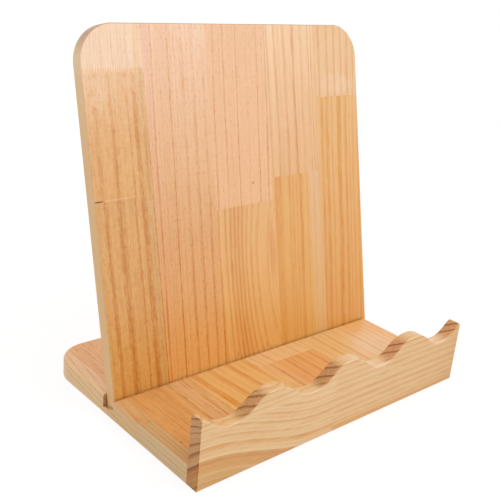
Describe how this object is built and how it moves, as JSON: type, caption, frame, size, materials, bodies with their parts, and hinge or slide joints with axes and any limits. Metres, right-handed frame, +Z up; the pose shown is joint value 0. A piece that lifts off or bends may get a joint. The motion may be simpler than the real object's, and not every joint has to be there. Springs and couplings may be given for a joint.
{
  "type": "cookbook stand",
  "caption": "Free-standing wooden cookbook stand: a grooved base board, a wave-cut front lip and a leaning back panel that lifts out of its groove.",
  "frame": {"origin": "middle of the base board's underside, on the table", "axes": "+X to the reader's right, +Y from the lip to the back, +Z up"},
  "size_m": [0.304, 0.2127, 0.3007],
  "materials": {
    "pine_panel": "clear satin lacquer",
    "pine_base": "clear satin lacquer",
    "pine_lip": "clear satin lacquer",
    "beech_dowel": "plain turned"
  },
  "bodies": {
    "base": {"base_stave_1_front": "pine_base", "base_stave_1_rear": "pine_base", "base_stave_2": "pine_base", "base_stave_3": "pine_base", "base_stave_4_front": "pine_base", "base_stave_4_rear": "pine_base", "base_stave_5": "pine_base", "base_stave_6": "pine_base", "lip_left": "pine_lip", "lip_right": "pine_lip", "lip_dowels": "beech_dowel"},
    "back_panel": {"panel_stave_1_bottom": "pine_panel", "panel_stave_1_middle": "pine_panel", "panel_stave_1_top": "pine_panel", "panel_stave_2": "pine_panel", "panel_stave_3_bottom": "pine_panel", "panel_stave_3_top": "pine_panel", "panel_stave_4_bottom": "pine_panel", "panel_stave_4_top": "pine_panel", "panel_stave_5_bottom": "pine_panel", "panel_stave_5_top": "pine_panel"}
  },
  "joints": [
    {"name": "panel_lift", "type": "slide", "parent": "base", "child": "back_panel", "axis": [0, 0.225, 0.9744], "range_m": [0, 0.06]}
  ]
}
